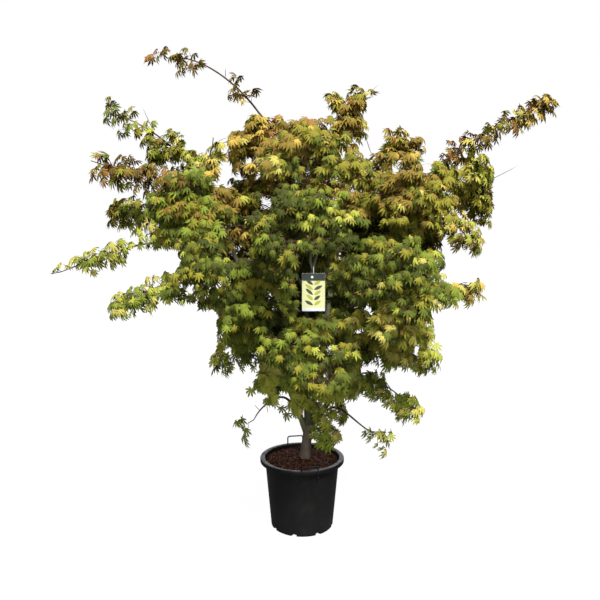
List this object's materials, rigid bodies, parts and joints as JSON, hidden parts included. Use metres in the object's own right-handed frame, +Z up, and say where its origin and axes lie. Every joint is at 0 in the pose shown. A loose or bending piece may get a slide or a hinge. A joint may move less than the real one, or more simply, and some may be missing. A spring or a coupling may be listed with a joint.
{
  "type": "potted Japanese maple",
  "caption": "Multi-stemmed Japanese maple in a round black nursery pot, with a wide open crown, bark mulch, two rim handles and a hanging label.",
  "frame": {"origin": "centre of the pot's flat underside", "axes": "+Z up, +X to the plant's right as seen from its front, -Y towards the viewer"},
  "size_m": [2.9337, 2.1932, 2.6826],
  "materials": {
    "black_plastic": "slightly glossy black, recycled",
    "bark_mulch": "rough dark red-brown bark chips over potting soil",
    "maple_bark": "smooth grey-brown young bark",
    "maple_foliage": "green leaves with bronze and gold tints",
    "printed_label": "printed plastic card"
  },
  "bodies": {
    "plant": {"pot": "black_plastic", "bark_mulch": "bark_mulch", "label_tag": "printed_label", "trunk": "maple_bark", "stem_middle": "maple_bark", "stem_left": "maple_bark", "stem_right": "maple_bark", "stem_front": "maple_bark", "stem_back": "maple_bark", "bough_left_top": "maple_bark", "bough_left_out": "maple_bark", "bough_left_low": "maple_bark", "bough_top_left": "maple_bark", "bough_top_right": "maple_bark", "bough_right_top": "maple_bark", "bough_right_low": "maple_bark", "bough_front_top": "maple_bark", "bough_back_top": "maple_bark", "leaves_arching_shoot": "maple_foliage", "leaves_top_left": "maple_foliage", "leaves_top_middle": "maple_foliage", "leaves_peak": "maple_foliage", "leaves_top_right": "maple_foliage", "leaves_right_long": "maple_foliage", "leaves_right_edge": "maple_foliage", "leaves_right_droop": "maple_foliage", "leaves_right_middle": "maple_foliage", "leaves_right_low": "maple_foliage", "leaves_gold_right": "maple_foliage", "leaves_low_right": "maple_foliage", "leaves_spray_right": "maple_foliage", "leaves_trunk_right": "maple_foliage", "leaves_trunk_skirt": "maple_foliage", "leaves_left_upper": "maple_foliage", "leaves_left_gold": "maple_foliage", "leaves_left_bronze": "maple_foliage", "leaves_left_green": "maple_foliage", "leaves_left_long": "maple_foliage", "leaves_left_middle": "maple_foliage", "leaves_left_branch": "maple_foliage", "leaves_left_low": "maple_foliage", "leaves_left_foot": "maple_foliage", "leaves_left_twig": "maple_foliage", "leaves_hanging": "maple_foliage", "leaves_front_foot_left": "maple_foliage", "leaves_front_foot_right": "maple_foliage", "leaves_front_low": "maple_foliage", "leaves_front_middle": "maple_foliage", "leaves_front_top": "maple_foliage", "leaves_front_left": "maple_foliage", "leaves_front_right": "maple_foliage", "leaves_inner_left": "maple_foliage", "leaves_inner_right": "maple_foliage", "leaves_back_top": "maple_foliage", "leaves_back_middle": "maple_foliage", "leaves_back_left": "maple_foliage", "leaves_back_right": "maple_foliage", "leaves_back_low": "maple_foliage"},
    "back_handle": {"handle_back": "black_plastic"},
    "front_handle": {"handle_front": "black_plastic"}
  },
  "joints": [
    {"name": "back_handle_slide", "type": "slide", "parent": "plant", "child": "back_handle", "axis": [0, 0, 1], "range_m": [-0.034, 0.0078]},
    {"name": "front_handle_slide", "type": "slide", "parent": "plant", "child": "front_handle", "axis": [0, 0, 1], "range_m": [-0.008, 0.0338]}
  ]
}
